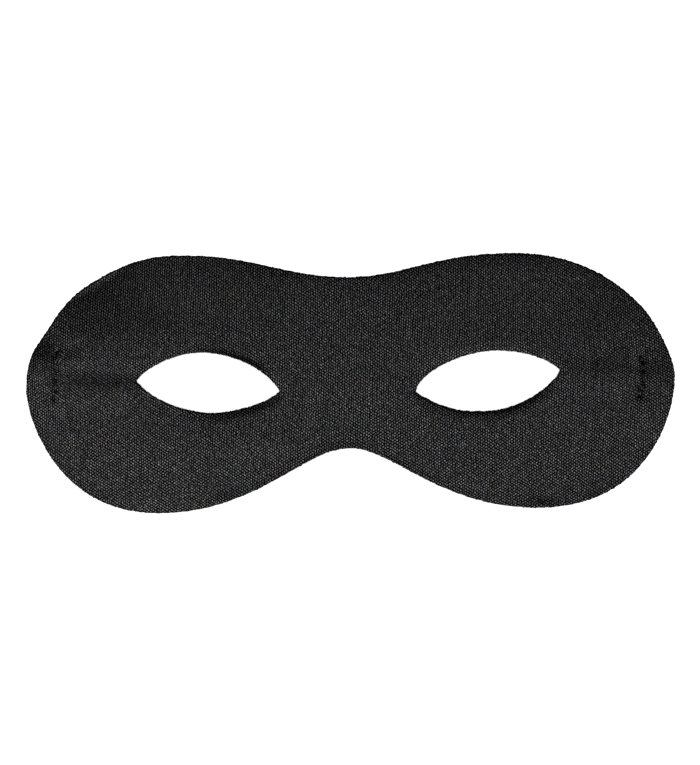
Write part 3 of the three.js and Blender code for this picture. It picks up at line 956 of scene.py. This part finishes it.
def cloth_face(edges, insets, inner):
    """Triangles over the cloth: (points, with the cut edge's first, distances from the edge, triangles)."""
    rings = edge_rings(edges)
    segments = [pair for ring in rings for pair in zip(ring.tolist(), np.roll(ring, -1).tolist())]
    count = len(segments)
    loops = [line + normals * depth for line, normals, _ in edges for depth in insets]
    asked = np.concatenate([np.full(len(line), depth) for line, _, _ in edges for depth in insets])
    loops = np.vstack(loops)
    loops = loops[edge_distances(loops) > 0.8 * asked]
    inner = inner[on_cloth(inner, MASK_LINE, EYE_LINES)]
    inner = inner[edge_distances(inner) > insets[-1] + 0.1 * MM]
    cuts = [cut for _, _, cut in edges]
    points = np.vstack(cuts + [loops, inner])
    flat = [Vector(point) / MM for point in points]
    _, _, triangles, origin, _, _ = delaunay_2d_cdt(flat, segments, [], 0, 1e-5, True)
    order = [source[0] for source in origin]
    triangles = np.array(order)[np.array(triangles)]
    away = edge_distances(points)
    away[:count] = 0
    on_rim = (triangles < count).all(axis=1)
    kept = ~on_rim
    kept[on_rim] = on_cloth(points[triangles[on_rim]].mean(axis=1), cuts[0], cuts[1:])
    return points, away, triangles[kept]


def back_grid():
    """Points of an even triangular grid over the mask's box."""
    steps_x = np.arange(-HALF_WIDTH, HALF_WIDTH, BACK_STEP)
    steps_y = np.arange(-HALF_HEIGHT, HALF_HEIGHT, BACK_STEP)
    grid = np.stack(np.meshgrid(steps_x, steps_y), axis=-1)
    grid[::2, :, 0] += BACK_STEP / 2
    return grid.reshape(-1, 2)


def cloth_sides(edges, front, back):
    """(points, heights) along the middle of the cut edge, which bulges out a little."""
    plan, height = [], []
    for (_, normals, cut), ring in zip(edges, edge_rings(edges)):
        rough = np.random.default_rng(len(cut)).random(len(cut))
        plan.append(cut - normals * (EDGE_BULGE * rough)[:, None])
        height.append((front[ring] + back[ring]) / 2)
    return np.vstack(plan), np.concatenate(height)


def side_faces(upper, lower):
    """Four-sided faces between two rings with as many points."""
    return np.column_stack([np.roll(upper, -1), upper, lower, np.roll(lower, -1)]).tolist()


def make_cloth(material):
    edges = cut_edges()
    front_plan, front_away, front_faces = cloth_face(edges, FRONT_INSETS, lattice_points())
    back_plan, back_away, back_faces = cloth_face(edges, BACK_INSETS, back_grid())
    front, _ = cloth_heights(*front_plan.T, front_away)
    weave = weave_height(*yarn_counts(*front_plan.T))
    front = front + weave * (EDGE_WEAVE + (1 - EDGE_WEAVE) * (1 - fade(front_away / EDGE_ROUND)))
    _, back = cloth_heights(*back_plan.T, back_away)
    side_plan, side_height = cloth_sides(edges, front, back)
    plan = np.vstack([front_plan, back_plan, side_plan])
    heights = np.concatenate([front, back, side_height])
    back_start = len(front_plan)
    side_start = back_start + len(back_plan)
    faces = front_faces.tolist() + (back_faces[:, ::-1] + back_start).tolist()
    for ring in edge_rings(edges):
        faces += side_faces(ring, ring + side_start) + side_faces(ring + side_start, ring + back_start)
    cloth = new_object("cloth", np.column_stack([plan, heights]), faces, material)
    warp, weft = yarn_counts(*plan.T)
    warp[side_start:] += CLOTH_THICKNESS / 2 / WARP_PITCH
    weft[side_start:] += CLOTH_THICKNESS / 2 / WEFT_PITCH
    lean, rib = weave_places(*plan.T)
    away = np.concatenate([front_away, back_away, np.zeros(len(side_plan))])
    names = ("warp", "weft", "lean", "rib", "edge_distance", "painted_shade")
    for name, values in zip(names, (warp, weft, lean, rib, away, painted_hole_shade(*plan.T))):
        add_values(cloth, name, values)
    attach(cloth, "root")
    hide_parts("mask")
    return cloth


# Threads and fibres

def tube(path, radii, sides):
    """(vertices, faces) of a round tube along a path, closed at both ends."""
    run = unit(np.gradient(path, axis=0))
    flat = unit(np.cross(run, (0.31, 0.17, 0.93)))
    up = np.cross(run, flat)
    vertices, faces = [], []
    for point, a, b, radius in zip(path, flat, up, radii):
        for k in range(sides):
            angle = 2 * math.pi * k / sides
            vertices.append(point + radius * (a * math.cos(angle) + b * math.sin(angle)))
    for i in range(len(path) - 1):
        for k in range(sides):
            a, b = i * sides + k, i * sides + (k + 1) % sides
            faces.append((a, a + sides, b + sides, b))
    faces.append(tuple(range(sides)))
    last = (len(path) - 1) * sides
    faces.append(tuple(range(last, last + sides))[::-1])
    return vertices, faces


def joined(tubes):
    vertices, faces = [], []
    for more, their_faces in tubes:
        faces += [tuple(i + len(vertices) for i in face) for face in their_faces]
        vertices += list(more)
    return vertices, faces


def laid_thread(points, kind):
    """Thread through points in the plane, in millimetres, laid on the cloth, with its ends let into it."""
    lift, radius, dive = [THREADS[kind][size] * MM for size in ("lift", "radius", "dive")]
    knots = np.array(points) * MM
    share = np.linspace(0, 1, 17)
    at = share * (len(knots) - 1)
    x = np.interp(at, range(len(knots)), knots[:, 0])
    y = np.interp(at, range(len(knots)), knots[:, 1])
    for _ in range(6):
        x[1:-1] = (x[:-2] + 2 * x[1:-1] + x[2:]) / 4
        y[1:-1] = (y[:-2] + 2 * y[1:-1] + y[2:]) / 4
    front, _ = cloth_heights(x, y, np.full(len(x), 5 * MM))
    z = front + lift - dive * (1 - np.sin(math.pi * share) ** 0.5)
    return tube(np.column_stack([x, y, z]), [radius] * len(x), 8)


def sewn_piece(name, tubes, material):
    piece = new_object(name, *joined(tubes), material)
    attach(piece, "root")
    return piece


def make_stitches(row, material):
    """Black thread that dives into the cloth at each needle hole, and the knot of the left row."""
    rows = [stitch for stitch in STITCHES if stitch["row"] == row]
    tubes = [laid_thread([stitch["upper"], stitch["lower"]], "stitch") for stitch in rows]
    if row == "left":
        tubes += [laid_thread(turn, "knot") for turn in KNOT_TURNS]
    return sewn_piece(f"stitches_{row}", tubes, material)


def make_thread_ends(material):
    """The pale frayed ends of the knot's thread."""
    return sewn_piece("thread_ends", [laid_thread(end, "frayed") for end in PALE_ENDS], material)


def fibre(place, back, front, out, rng):
    """One bent fibre from between the cloth's two faces, heading about outwards."""
    angle = rng.normal(0, 0.7)
    heading = np.array([
        out[0] * math.cos(angle) - out[1] * math.sin(angle),
        out[0] * math.sin(angle) + out[1] * math.cos(angle),
        rng.normal(0, 0.35),
    ])
    bend = rng.normal(0, 0.5, 3)
    least, more, most = FIBRE_LENGTH
    length = MM * min(most, least + rng.exponential(more))
    root = np.array([*place, back + (front - back) * rng.uniform(0.3, 0.9)])
    share = np.linspace(0, 1, 4)[:, None]
    path = root + length * (heading * share + bend * share**2 * 0.5)
    path[:, 2] = np.maximum(path[:, 2], 0.05 * MM)
    radius = MM * rng.uniform(*FIBRE_RADIUS)
    return tube(path, radius * np.array([1, 0.9, 0.7, 0.3]), 3)


def make_fibres(material):
    """Short ends of fibre that stand out of the cut edge."""
    rng = np.random.default_rng(5)
    tubes = []
    for line, normals, cut in cut_edges():
        for _ in range(round(len(line) * EDGE_STEP / MM * FIBRES_PER_MM)):
            i = rng.integers(len(line))
            front, back = cloth_heights(cut[i, :1], cut[i, 1:], np.zeros(1))
            place = cut[i] + 0.1 * MM * normals[i]
            tubes.append(fibre(place, back[0], front[0], -normals[i], rng))
    return sewn_piece("edge_fibres", tubes, material)


# The strap

def strap_ring():
    """The strap's section: (share of half the width, height) of each point around it."""
    share = np.linspace(-1, 1, STRAP_STEPS_ACROSS + 1)
    half = STRAP_THICKNESS / 2
    bulge = half * (1 - np.abs(share) ** 8) ** 0.5
    ribs = STRAP_RIB_DEPTH * np.cos(share * math.pi * STRAP_RIBS) ** 2
    profile = np.maximum(bulge - ribs, 0)
    height = np.concatenate([half + profile, half - profile[-2:0:-1]])
    return np.concatenate([share, share[-2:0:-1]]), height


def make_strap(material):
    line = even_steps(strap_line(), STRAP_STEP, closed=False)
    ring_share, ring_height = strap_ring()
    vertices, across_values, along_values = [], [], []
    for point, normal, at in zip(line, left_normals(line), lengths_along(line)):
        ripple = 1 - STRAP_RIPPLE * (1 + math.sin(at / STRAP_RIPPLE_LENGTH))
        offset = ring_share * STRAP_WIDTH / 2 * ripple
        ring = point + normal * offset[:, None]
        vertices.append(np.column_stack([ring, ring_height]))
        across_values.append(offset)
        along_values.append(np.full(len(offset), at))
    vertices = np.vstack(vertices)
    size = len(ring_share)
    faces = []
    for i in range(len(line) - 1):
        for k in range(size):
            a, b = i * size + k, i * size + (k + 1) % size
            faces.append((a, b, b + size, a + size))
    faces.append(tuple(range(size))[::-1])
    last = (len(line) - 1) * size
    faces.append(tuple(range(last, last + size)))
    strap = new_object("strap_band", vertices, faces, material)
    add_values(strap, "along", np.concatenate(along_values))
    add_values(strap, "across", np.concatenate(across_values))
    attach(strap, "root")
    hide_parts("head_strap")
    return strap


make_camera()
floor = make_floor()
cloth = make_cloth(woven_cloth())
strap = make_strap(strap_elastic())
sewing = thread("sewing_thread", 0.006, 0.5 * MM)
sewn = [make_stitches("left", sewing), make_stitches("right", sewing)]
sewn.append(make_thread_ends(thread("frayed_thread", 0.19, 0.2 * MM)))
fibres = make_fibres(thread("loose_fibre", 0.03, 0.3 * MM))
make_lights(floor, [cloth, strap, fibres] + sewn)
